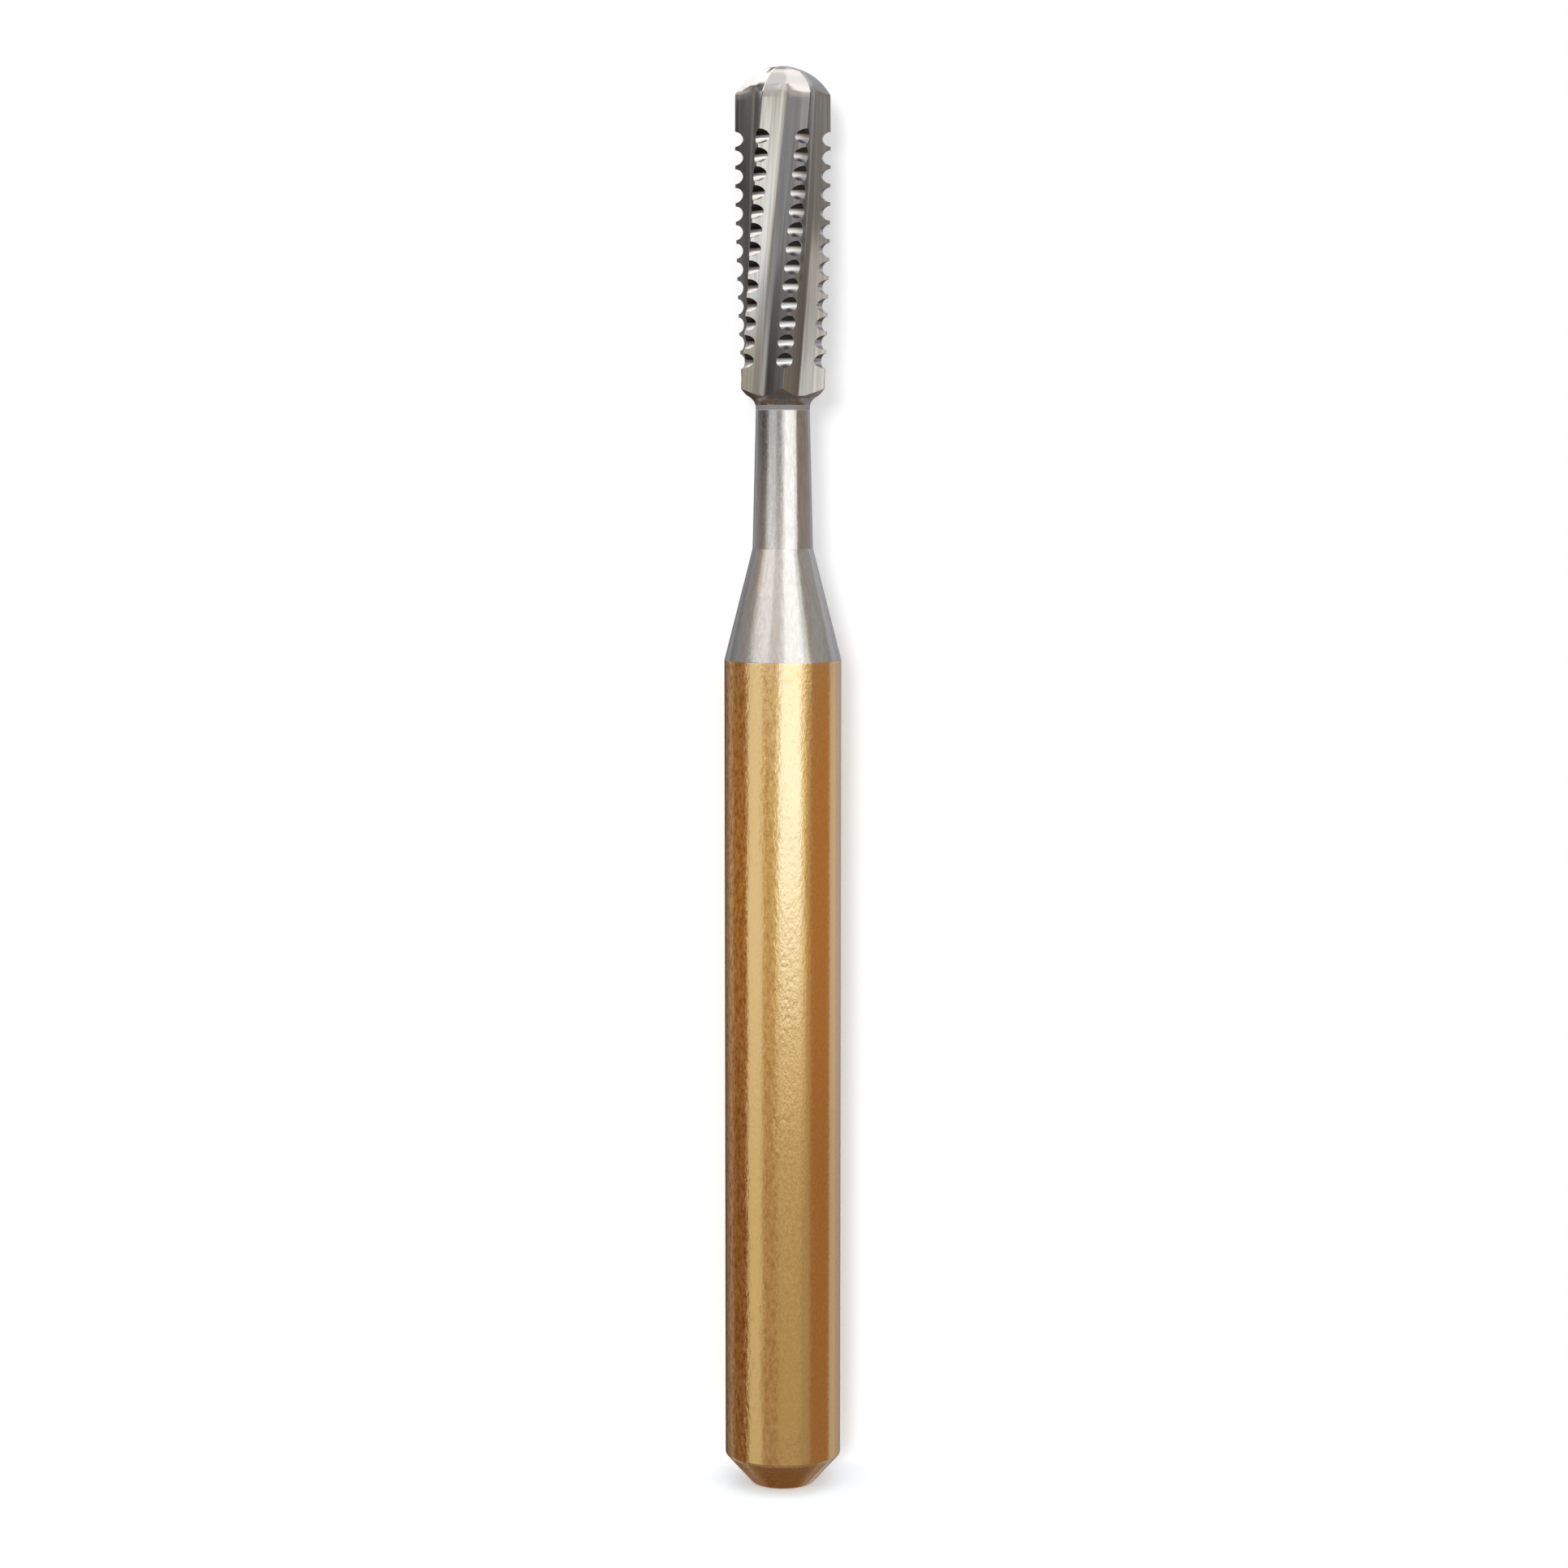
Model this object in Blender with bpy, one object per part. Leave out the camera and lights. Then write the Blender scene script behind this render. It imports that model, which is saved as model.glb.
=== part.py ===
"""Dome-ended cross-cut carbide burr: a fluted cutting head brazed to the neck of a stepped, plated shank.

Lengths are in metres and +Z is up. The shank's end face stands on the origin, and the tool's axis runs
up +Z to the tip of the head. Angles about the axis are counted from the front (-Y) towards +X.
"""

import math

import bmesh
import bpy
from mathutils import Matrix, Vector

# Shank, which the chuck grips, and its chamfered end
SHANK_DIAMETER = 0.00160
SHANK_LENGTH = 0.01150
END_FACE_DIAMETER = 0.00085
CHAMFER_ANGLE = 42.0
CHAMFER_EDGE_ROUNDING = 0.00006
END_FACE_ROUNDING = 0.00004

# Cone and neck
CONE_LENGTH = 0.00152
NECK_FOOT_DIAMETER = 0.000826
NECK_FOOT_ROUNDING = 0.00015
NECK_LENGTH = 0.001896
NECK_DIAMETER = 0.000734

# Turned blank of the head
HEAD_DIAMETER = 0.00129
CUTTING_LENGTH = 0.00432
DOME_HEIGHT = 0.000385
BACK_CONE_ANGLE = 60.0
BACK_FILLET = 0.00018

# Flutes, ground as a right-hand helix
BLADES = 6
HELIX_LEAD = 0.0396
FIRST_EDGE_ANGLE = -2.4
VALLEY_DIAMETER = 0.00091
VALLEY_ROUNDING = 0.00020
RAKE_FACE_SPAN = 27.0
LAND_SPAN = 2.5
DOME_VALLEY_SHARE = 0.80

# Cross-cut notches, as rings at an even pitch
NOTCH_PITCH = 0.000248
NOTCH_DEPTH = 0.000105
TOOTH_LAND = 0.000048
TIP_TO_FIRST_NOTCH = 0.000973
LAST_NOTCH_TO_BACK = 0.00035

# Fineness of the facets
SHANK_SEGMENTS = 60
ROUNDING_STEPS = 4
VALLEY_STEPS = 2
LAND_STEPS = 3
NOTCH_STEPS = 6
DOME_STEPS = 8
CONE_STEPS = 3
SHARP_ANGLE = 22.0
MERGE_DISTANCE = 0.0000001
TIP_RADIUS = 0.000001

# Sizes that follow
SHANK_RADIUS = SHANK_DIAMETER / 2
END_FACE_RADIUS = END_FACE_DIAMETER / 2
CHAMFER_HEIGHT = (SHANK_RADIUS - END_FACE_RADIUS) / math.tan(math.radians(CHAMFER_ANGLE))
NECK_RADIUS = NECK_DIAMETER / 2
HEAD_RADIUS = HEAD_DIAMETER / 2
VALLEY_RADIUS = VALLEY_DIAMETER / 2
BACK_SLOPE = math.radians(BACK_CONE_ANGLE)
FILLET_HEIGHT = BACK_FILLET * math.sin(BACK_SLOPE)
FILLET_TOP_RADIUS = NECK_RADIUS + BACK_FILLET * (1 - math.cos(BACK_SLOPE))
BACK_CONE_HEIGHT = (HEAD_RADIUS - FILLET_TOP_RADIUS) / math.tan(BACK_SLOPE)
BACK_EDGE_HEIGHT = FILLET_HEIGHT + BACK_CONE_HEIGHT
HEAD_LENGTH = BACK_EDGE_HEIGHT + CUTTING_LENGTH
JOINT_HEIGHT = SHANK_LENGTH + CONE_LENGTH + NECK_LENGTH


def clear_scene():
    for old in list(bpy.data.objects):
        bpy.data.objects.remove(old, do_unlink=True)


def metal(name, color, roughness):
    """A plain metallic material."""
    material = bpy.data.materials.new(name)
    material.use_nodes = True
    shader = material.node_tree.nodes["Principled BSDF"]
    shader.inputs["Base Color"].default_value = (*color, 1.0)
    shader.inputs["Metallic"].default_value = 1.0
    shader.inputs["Roughness"].default_value = roughness
    return material


def finished_object(name, bm, materials, height):
    """Closes the mesh's coincident points, shades it and stands it at its height on the axis."""
    bmesh.ops.remove_doubles(bm, verts=bm.verts, dist=MERGE_DISTANCE)
    bmesh.ops.recalc_face_normals(bm, faces=bm.faces)
    mesh = bpy.data.meshes.new(name)
    bm.to_mesh(mesh)
    bm.free()
    for material in materials:
        mesh.materials.append(material)
    mesh.shade_smooth()
    mesh.set_sharp_from_angle(angle=math.radians(SHARP_ANGLE))
    piece = bpy.data.objects.new(name, mesh)
    piece.location.z = height
    bpy.context.scene.collection.objects.link(piece)
    return piece


def rounded_corner(before, corner, after, radius, steps=ROUNDING_STEPS):
    """The arc that rounds one corner of an outline, no larger than its shorter side allows."""
    to_before = before - corner
    to_after = after - corner
    half_angle = to_before.angle(to_after) / 2
    room = min(to_before.length, to_after.length) / 2
    tangent = min(radius / math.tan(half_angle), room)
    radius = tangent * math.tan(half_angle)
    start = corner + to_before.normalized() * tangent
    bisector = (to_before.normalized() + to_after.normalized()).normalized()
    centre = corner + bisector * (radius / math.sin(half_angle))
    turn = (start - centre).angle_signed(corner + to_after.normalized() * tangent - centre)
    points = []
    for step in range(steps + 1):
        rotation = Matrix.Rotation(-turn * step / steps, 2)
        points.append(centre + rotation @ (start - centre))
    return points


def shank_outline():
    """Half of the shank's section as (radius, height) points, from its end face up to the brazed joint."""
    neck_foot = SHANK_LENGTH + CONE_LENGTH
    corners = [
        (Vector((0, 0)), 0),
        (Vector((END_FACE_RADIUS, 0)), END_FACE_ROUNDING),
        (Vector((SHANK_RADIUS, CHAMFER_HEIGHT)), CHAMFER_EDGE_ROUNDING),
        (Vector((SHANK_RADIUS, SHANK_LENGTH)), 0),
        (Vector((NECK_FOOT_DIAMETER / 2, neck_foot)), NECK_FOOT_ROUNDING),
        (Vector((NECK_RADIUS, JOINT_HEIGHT)), 0),
        (Vector((0, JOINT_HEIGHT)), 0),
    ]
    outline = []
    for index, (corner, rounding) in enumerate(corners):
        if rounding:
            before = corners[index - 1][0]
            after = corners[index + 1][0]
            outline += rounded_corner(before, corner, after, rounding)
        else:
            outline.append(corner)
    return outline


def make_shank(plating, steel):
    """One turned piece: chamfered end, plated cylinder, bare cone and bare neck."""
    bm = bmesh.new()
    verts = [bm.verts.new((radius, 0, height)) for radius, height in shank_outline()]
    edges = [bm.edges.new(pair) for pair in zip(verts, verts[1:])]
    bmesh.ops.spin(
        bm,
        geom=verts + edges,
        axis=(0, 0, 1),
        cent=(0, 0, 0),
        steps=SHANK_SEGMENTS,
        angle=math.tau,
        use_merge=True,
    )
    for face in bm.faces:
        face.material_index = int(face.calc_center_median().z > SHANK_LENGTH)
    return finished_object("shank", bm, [plating, steel], 0)


def add_crossing(outline, radius):
    """The outline with a point added wherever it crosses this radius, for a flute to run out at."""
    result = [outline[0]]
    for (low_radius, low), (high_radius, high) in zip(outline, outline[1:]):
        if min(low_radius, high_radius) < radius < max(low_radius, high_radius):
            share = (radius - low_radius) / (high_radius - low_radius)
            result.append((radius, low + share * (high - low)))
        result.append((high_radius, high))
    return result


def back_outline():
    """Fillet out of the neck, then the cone up to the blades' back corner."""
    points = []
    for step in range(ROUNDING_STEPS + 1):
        slope = BACK_SLOPE * step / ROUNDING_STEPS
        radius = NECK_RADIUS + BACK_FILLET * (1 - math.cos(slope))
        points.append((radius, BACK_FILLET * math.sin(slope)))
    for step in range(1, CONE_STEPS + 1):
        share = step / CONE_STEPS
        radius = FILLET_TOP_RADIUS + share * (HEAD_RADIUS - FILLET_TOP_RADIUS)
        points.append((radius, FILLET_HEIGHT + share * BACK_CONE_HEIGHT))
    return points


def notch_outline():
    """Every cross-cut notch from the lowest up, each a half ellipse turned into the cylinder."""
    run = CUTTING_LENGTH - TIP_TO_FIRST_NOTCH - LAST_NOTCH_TO_BACK
    count = int(run / NOTCH_PITCH) + 1
    half_width = (NOTCH_PITCH - TOOTH_LAND) / 2
    top_notch = HEAD_LENGTH - TIP_TO_FIRST_NOTCH
    points = []
    for number in reversed(range(count)):
        centre = top_notch - number * NOTCH_PITCH
        for step in range(NOTCH_STEPS + 1):
            turn = math.pi * (step / NOTCH_STEPS - 0.5)
            radius = HEAD_RADIUS - NOTCH_DEPTH * math.cos(turn)
            points.append((radius, centre + half_width * math.sin(turn)))
    return points


def dome_outline():
    """The spherical cap from the cylinder's edge to the tip."""
    cap_radius = (HEAD_RADIUS**2 + DOME_HEIGHT**2) / (2 * DOME_HEIGHT)
    centre = HEAD_LENGTH - cap_radius
    opening = math.atan2(HEAD_RADIUS, HEAD_LENGTH - DOME_HEIGHT - centre)
    points = []
    for step in range(DOME_STEPS + 1):
        tilt = opening * (1 - step / DOME_STEPS)
        points.append((cap_radius * math.sin(tilt), centre + cap_radius * math.cos(tilt)))
    return add_crossing(points, VALLEY_RADIUS / DOME_VALLEY_SHARE)


def polar(radius, angle):
    return Vector((radius * math.cos(angle), radius * math.sin(angle)))


def face_angle(foot, edge, radius):
    """The angle at which a flat flute face, seen along the axis from its foot to its edge, meets this radius."""
    run = edge - foot
    along = foot.dot(run)
    excess = foot.length_squared - radius**2
    share = (math.sqrt(max(along**2 - run.length_squared * excess, 0)) - along) / run.length_squared
    crossing = foot + run * min(max(share, 0), 1)
    return math.atan2(crossing.y, crossing.x)


def blade_outline(radius, tooth_radius):
    """One blade as (radius, angle) points about its cutting edge, from the floor of the valley behind it.

    The blade is a triangle ground down from tooth_radius, and the turned blank cuts it off at radius.
    """
    pitch = math.tau / BLADES
    land = math.radians(LAND_SPAN)
    rake_valley = math.radians(RAKE_FACE_SPAN)
    valley_radius = min(VALLEY_RADIUS, DOME_VALLEY_SHARE * tooth_radius)
    edge = polar(tooth_radius, 0)
    heel = polar(tooth_radius, -land)
    edge_behind = polar(tooth_radius, -pitch)
    heel_ahead = polar(tooth_radius, pitch - land)
    valley_behind = polar(valley_radius, rake_valley - pitch)
    valley_ahead = polar(valley_radius, rake_valley)
    valley = rounded_corner(edge_behind, valley_behind, heel, VALLEY_ROUNDING, VALLEY_STEPS)[1:]
    rake_foot = rounded_corner(edge, valley_ahead, heel_ahead, VALLEY_ROUNDING, VALLEY_STEPS)[0]
    first = face_angle(valley[-1], heel, radius)
    last = face_angle(rake_foot, edge, radius)
    points = [(min(point.length, radius), math.atan2(point.y, point.x)) for point in valley]
    for step in range(LAND_STEPS + 1):
        points.append((radius, first + (last - first) * step / LAND_STEPS))
    points.append((min(rake_foot.length, radius), math.atan2(rake_foot.y, rake_foot.x)))
    return points


def head_ring(bm, radius, height):
    """The points of one cross-section of the head, turned to where the helix has come to."""
    on_dome = height > HEAD_LENGTH - DOME_HEIGHT
    blade = blade_outline(radius, max(radius, TIP_RADIUS) if on_dome else HEAD_RADIUS)
    helix_angle = math.radians(FIRST_EDGE_ANGLE) + math.tau * height / HELIX_LEAD
    ring = []
    for number in range(BLADES):
        edge_angle = helix_angle + math.tau * number / BLADES
        for point_radius, point_angle in blade:
            angle = edge_angle + point_angle
            across = point_radius * math.sin(angle)
            ring.append(bm.verts.new((across, -point_radius * math.cos(angle), height)))
    return ring


def make_cutting_head(carbide):
    """The turned blank with its flutes: a loft through the cross-sections at every point of its outline."""
    outline = add_crossing(back_outline() + notch_outline() + dome_outline(), VALLEY_RADIUS)
    bm = bmesh.new()
    rings = [head_ring(bm, radius, height) for radius, height in outline]
    for low, high in zip(rings, rings[1:]):
        for index in range(len(low)):
            bm.faces.new((low[index - 1], low[index], high[index], high[index - 1]))
    bm.faces.new(reversed(rings[0]))
    return finished_object("cutting_head", bm, [carbide], JOINT_HEIGHT)


def main():
    clear_scene()
    carbide = metal("tungsten_carbide", (0.42, 0.41, 0.39), 0.32)
    plating = metal("gold_plating", (0.78, 0.57, 0.30), 0.34)
    steel = metal("bare_steel", (0.56, 0.55, 0.54), 0.38)
    shank = make_shank(plating, steel)
    head = make_cutting_head(carbide)
    head.parent = shank


main()
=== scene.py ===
"""Looks of the dome-ended cross-cut carbide burr: its finely ground head, plated shank, studio and camera.

Lengths are in metres, with +Z up the tool's axis. Angles about the axis are in degrees, counted from the
front (-Y), where the camera is, towards +X.
"""

import math

import bmesh
import bpy
from mathutils import Matrix, Vector


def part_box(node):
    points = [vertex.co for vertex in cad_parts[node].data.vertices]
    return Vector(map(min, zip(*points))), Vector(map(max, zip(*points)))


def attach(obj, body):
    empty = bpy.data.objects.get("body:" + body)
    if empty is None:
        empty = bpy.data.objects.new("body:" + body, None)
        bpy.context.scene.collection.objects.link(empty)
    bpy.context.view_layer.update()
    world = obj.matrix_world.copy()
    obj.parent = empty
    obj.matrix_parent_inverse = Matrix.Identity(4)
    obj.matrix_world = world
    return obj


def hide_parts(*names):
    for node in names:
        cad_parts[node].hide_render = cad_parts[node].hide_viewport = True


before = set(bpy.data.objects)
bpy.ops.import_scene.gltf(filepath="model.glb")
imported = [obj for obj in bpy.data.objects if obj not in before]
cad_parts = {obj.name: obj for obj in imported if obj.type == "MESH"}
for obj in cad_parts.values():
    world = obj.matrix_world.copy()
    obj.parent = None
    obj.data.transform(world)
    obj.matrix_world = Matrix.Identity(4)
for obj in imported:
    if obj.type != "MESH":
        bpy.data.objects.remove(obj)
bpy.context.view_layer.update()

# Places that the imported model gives
head_low, head_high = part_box("cutting_head")
shank_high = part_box("shank")[1]
JOINT_HEIGHT = head_low.z
TIP_HEIGHT = head_high.z
SHANK_RADIUS = shank_high.x

# Shank and neck, as in the model
SHANK_LENGTH = 0.01150
END_FACE_RADIUS = 0.000425
CHAMFER_ANGLE = math.radians(42.0)
CHAMFER_EDGE_ROUNDING = 0.00006
END_FACE_ROUNDING = 0.00004
CONE_LENGTH = 0.00152
NECK_FOOT_RADIUS = 0.000413
NECK_RADIUS = 0.000367

# Roundings of two edges of the shank that differ from the model's: one sharp there, one softer there
CONE_EDGE_ROUNDING = 0.00003
NECK_FOOT_ROUNDING = 0.00002

# Blank of the head, as in the model
HEAD_RADIUS = 0.000645
CUTTING_LENGTH = 0.00432
DOME_HEIGHT = 0.000385
BACK_SLOPE = math.radians(60.0)
BACK_FILLET = 0.00018

# Flutes, as in the model
BLADES = 6
HELIX_LEAD = 0.0396
FIRST_EDGE_ANGLE = math.radians(-2.4)
VALLEY_RADIUS = 0.000455
RAKE_FACE_SPAN = math.radians(27.0)
LAND_SPAN = math.radians(1.2)
DOME_VALLEY_SHARE = 0.80
VALLEY_ROUNDING = 0.00020

# Cross-cut notches, as in the model
NOTCH_PITCH = 0.000248
NOTCH_DEPTH = 0.000105
TOOTH_LAND = 0.000048
TIP_TO_FIRST_NOTCH = 0.000973
LAST_NOTCH_TO_BACK = 0.00035

# Fineness of the meshes
SHANK_SEGMENTS = 192
ROUNDING_STEPS = 8
FACE_STEPS = 3
VALLEY_STEPS = 5
LAND_STEPS = 5
NOTCH_STEPS = 16
DOME_STEPS = 18
PLAIN_STEP = 0.00008
SHARP_ANGLE = math.radians(20.0)

# Radius that stands for a point on the axis, distance within which points are merged, and the least
# difference between two lengths that counts
TIP_POINT = 1e-6
MERGE_DISTANCE = 1e-8
TOLERANCE = 1e-9

# Material slots of the head, beside the ground carbide in slot 0
NOTCHED = 1
EDGE = 2
BRAZED = 3

# Finishes of the shank, each from where a change starts to where it is complete. Across the shank, from its
# middle to the right: the end of the pits and their partly painted mottle, and the borders of the two
# stripes of painted reflection flecks. Up its axis: the painted highlight on the plating's top edge and the
# braze film.
PITTING_AND_MOTTLE_END = (0.15 * SHANK_RADIUS, 0.65 * SHANK_RADIUS)
OUTER_STRIPE_END = (-0.63 * SHANK_RADIUS, -0.55 * SHANK_RADIUS)
INNER_STRIPE_START = (-0.36 * SHANK_RADIUS, -0.29 * SHANK_RADIUS)
INNER_STRIPE_END = (-0.13 * SHANK_RADIUS, 0.0)
PLATING_EDGE_HIGHLIGHT = (SHANK_LENGTH - 0.00006, SHANK_LENGTH - 0.00001)
BRAZE_FILM = (JOINT_HEIGHT - 0.00003, JOINT_HEIGHT - 0.00001)

# Finishes of the head: the share of its back fillet that the braze covers, then from where a change starts
# to where it is complete, the heights at which the ground lines and the valleys' painted shade end, and the
# radii of a valley's walls
BRAZED_SHARE = 0.3
GROUND_LINES_END = (TIP_HEIGHT - 0.00046, TIP_HEIGHT - 0.00036)
VALLEY_SHADE_END = (JOINT_HEIGHT + 0.0012, JOINT_HEIGHT + 0.0024)
VALLEY_WALL = (0.00051, 0.00057)

# Sizes of the finishes' noise, along X, Y and Z
GOLD_GRAIN = (0.000030, 0.000030, 0.000045)
GOLD_PITS = (0.000042, 0.000042, 0.00010)
GOLD_FLECKS = (0.000050, 0.000050, 0.000095)
GOLD_PATCHES = (0.00045, 0.00045, 0.0016)
STEEL_GRAIN = (0.000026, 0.000026, 0.000055)
STEEL_STREAKS = (0.00004, 0.00004, 0.00022)
GROUND_LINES = (0.000018, 0.000018, 0.0009)
GROUND_BANDS = (0.000035, 0.000035, 0.0015)
CARBIDE_GRAIN = (0.000014, 0.000014, 0.000018)
NOTCH_RINGS = (0.0004, 0.0004, 0.000012)
NOTCH_GRAIN = (0.000014, 0.000014, 0.000014)
LAND_GRAIN = (0.000014, 0.000014, 0.00003)
BRAZE_GRAIN = (0.00003, 0.00003, 0.000014)

# Depths of the finishes' relief
GOLD_PIT_DEPTH = 0.0000040
GOLD_GRAIN_DEPTH = 0.0000010
STEEL_STREAK_DEPTH = 0.0000005
STEEL_GRAIN_DEPTH = 0.0000006
GROUND_LINE_DEPTH = 0.0000009
CARBIDE_GRAIN_DEPTH = 0.0000002
NOTCH_RING_DEPTH = 0.0000006
NOTCH_GRAIN_DEPTH = 0.0000004

# Colours of the finishes, and of the light and shade painted on some of them
GOLD = (0.775, 0.56, 0.29)
LIGHT_GOLD = (0.82, 0.605, 0.33)
# Painted light on the gold: reflection flecks, part of the pits' orange, and the top edge's highlight
PIT_AND_PAINTED_MOTTLE_GOLD = (0.68, 0.40, 0.16)
PAINTED_DARK_FLECK = (0.48, 0.28, 0.12)
PAINTED_GLINT_FLECK = (1.0, 0.80, 0.46)
PLATING_EDGE_HIGHLIGHT_GOLD = (0.90, 0.72, 0.50)
STEEL = (0.60, 0.58, 0.56)
LIGHT_STEEL = (0.655, 0.65, 0.64)
BRAZED_STEEL = (0.20, 0.203, 0.213)
BRAZE = (0.175, 0.178, 0.188)
LIGHT_BRAZE = (0.235, 0.238, 0.248)
CARBIDE = (0.385, 0.375, 0.355)
LIGHT_CARBIDE = (0.475, 0.465, 0.445)
# Painted shade in the flutes' valleys towards the head's back
VALLEY_SHADE_CARBIDE = (0.13, 0.13, 0.13)
# Painted light in the notches: shade on and under the roofs, a highlight on the floors, lit and shaded slopes
LEFT_NOTCH_ROOF_SHADE = (0.022, 0.021, 0.020)
RIGHT_NOTCH_ROOF_SHADE = (0.07, 0.067, 0.067)
LIT_LEFT_NOTCH_SLOPE = (0.44, 0.415, 0.38)
SHADED_RIGHT_NOTCH_SLOPE = (0.27, 0.255, 0.27)
NOTCH_FLOOR_HIGHLIGHT = (0.56, 0.535, 0.49)
LIGHT_NOTCH_FLOOR_HIGHLIGHT = (0.70, 0.68, 0.64)
UNDER_NOTCH_ROOF_HALF_SHADE = (0.36, 0.385, 0.42)
LAND = (0.11, 0.105, 0.115)
LIGHT_LAND = (0.20, 0.195, 0.21)

# Camera: where the photograph was taken from
CAMERA_PLACE = Vector((0.000016, -0.0488, 0.0146))
CAMERA_PITCH = math.radians(5.63)
CAMERA_LENS = 82.0
SENSOR_WIDTH = 36.0
CLIP_START = 0.001
CLIP_END = 2.0


def opaque(color):
    """A colour as a node's input takes it: with its alpha, unless another node gives it."""
    return color if isinstance(color, bpy.types.NodeSocket) else (*color, 1.0)


class Graph:
    """Short calls for wiring the nodes of one material."""

    def __init__(self, name):
        self.material = bpy.data.materials.new(name)
        self.material.use_nodes = True
        self.tree = self.material.node_tree
        self.shader = self.tree.nodes["Principled BSDF"]

    def fill(self, node, inputs):
        """Link each input to the socket given for it, or set it to the value given."""
        for key, value in inputs.items():
            if isinstance(value, bpy.types.NodeSocket):
                self.tree.links.new(value, node.inputs[key])
            else:
                node.inputs[key].default_value = value

    def node(self, kind, inputs=None, **settings):
        node = self.tree.nodes.new(kind)
        for key, value in settings.items():
            setattr(node, key, value)
        self.fill(node, inputs or {})
        return node

    def math(self, operation, first, second=0.0, third=0.0):
        return self.node("ShaderNodeMath", {0: first, 1: second, 2: third}, operation=operation).outputs[0]

    def product(self, vector, factors):
        """The vector with each of its parts multiplied by its own factor."""
        return self.node("ShaderNodeVectorMath", {0: vector, 1: factors}, operation="MULTIPLY").outputs[0]

    def length(self, vector):
        return self.node("ShaderNodeVectorMath", {0: vector}, operation="LENGTH").outputs["Value"]

    def parts(self, vector):
        """The vector's X, Y and Z."""
        return self.node("ShaderNodeSeparateXYZ", {0: vector}).outputs

    def noise(self, vector, sizes, detail, roughness):
        """Noise whose spots have this size along each axis."""
        scaled = self.product(vector, tuple(1.0 / size for size in sizes))
        inputs = {"Vector": scaled, "Scale": 1.0, "Detail": detail, "Roughness": roughness}
        return self.node("ShaderNodeTexNoise", inputs).outputs["Fac"]

    def remap(self, value, low, high, to_low, to_high):
        inputs = {"Value": value, "From Min": low, "From Max": high, "To Min": to_low, "To Max": to_high}
        return self.node("ShaderNodeMapRange", inputs, interpolation_type="SMOOTHSTEP").outputs["Result"]

    def mix(self, factor, first, second):
        inputs = {0: factor, 6: opaque(first), 7: opaque(second)}
        return self.node("ShaderNodeMix", inputs, data_type="RGBA").outputs[2]

    def bump(self, height, distance, normal=None):
        inputs = {"Height": height, "Distance": distance, "Strength": 1.0}
        if normal is not None:
            inputs["Normal"] = normal
        return self.node("ShaderNodeBump", inputs).outputs["Normal"]

    def finished(self, color, roughness, normal=None, metallic=1.0):
        """The material, once its principled shader has these inputs."""
        inputs = {"Base Color": color, "Roughness": roughness, "Metallic": metallic}
        if normal is not None:
            inputs["Normal"] = normal
        self.fill(self.shader, inputs)
        return self.material

    def showing(self, surface):
        """The material, once it shows this surface in place of its principled shader."""
        self.tree.nodes.remove(self.shader)
        self.tree.links.new(surface, self.tree.nodes["Material Output"].inputs["Surface"])
        return self.material


def object_point(graph):
    return graph.node("ShaderNodeTexCoord").outputs["Object"]


def gold_plating():
    """Satin gold plating over a blasted shank, with fine grain all over and a painted highlight at its top.

    Its left side is pitted, the pits' colour partly a painted reflection mottle, and it has painted dark and
    bright reflection flecks in two stripes.
    """
    graph = Graph("gold_plating")
    point = object_point(graph)
    place = graph.parts(point)
    grain = graph.noise(point, GOLD_GRAIN, 2.0, 0.6)
    pits = graph.noise(point, GOLD_PITS, 2.0, 0.6)
    patches = graph.noise(point, GOLD_PATCHES, 1.0, 0.5)
    flecks = graph.noise(point, GOLD_FLECKS, 3.0, 0.65)
    # Pits, and a partly painted reflection mottle in them, kept mostly to the left side
    side = graph.remap(place["X"], *PITTING_AND_MOTTLE_END, 1.0, 0.15)
    pitting_and_mottle = graph.math("MULTIPLY", graph.remap(patches, 0.40, 0.60, 0.35, 1.0), side)
    pit = graph.math("MULTIPLY", graph.remap(pits, 0.54, 0.68, 0.0, 0.34), pitting_and_mottle)
    # Painted dark and bright reflection flecks in two stripes on the left side
    outer = graph.remap(place["X"], *OUTER_STRIPE_END, 1.0, 0.0)
    inner = graph.remap(place["X"], *INNER_STRIPE_START, 0.0, 0.55)
    inner = graph.math("MULTIPLY", inner, graph.remap(place["X"], *INNER_STRIPE_END, 1.0, 0.0))
    painted_fleck_stripes = graph.math("MAXIMUM", outer, inner)
    dark = graph.math("MULTIPLY", graph.remap(flecks, 0.50, 0.62, 0.0, 0.75), painted_fleck_stripes)
    bright = graph.math("MULTIPLY", graph.remap(flecks, 0.34, 0.46, 0.9, 0.0), painted_fleck_stripes)
    color = graph.mix(graph.remap(grain, 0.35, 0.65, 0.0, 1.0), GOLD, LIGHT_GOLD)
    color = graph.mix(pit, color, PIT_AND_PAINTED_MOTTLE_GOLD)
    color = graph.mix(dark, color, PAINTED_DARK_FLECK)
    color = graph.mix(bright, color, PAINTED_GLINT_FLECK)
    # Painted highlight along the plating's top edge
    color = graph.mix(graph.remap(place["Z"], *PLATING_EDGE_HIGHLIGHT, 0.0, 0.3), color, PLATING_EDGE_HIGHLIGHT_GOLD)
    pitted = graph.bump(graph.math("MULTIPLY", pits, pitting_and_mottle), GOLD_PIT_DEPTH)
    relief = graph.bump(grain, GOLD_GRAIN_DEPTH, pitted)
    return graph.finished(color, graph.remap(grain, 0.3, 0.7, 0.11, 0.19), relief)


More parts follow.
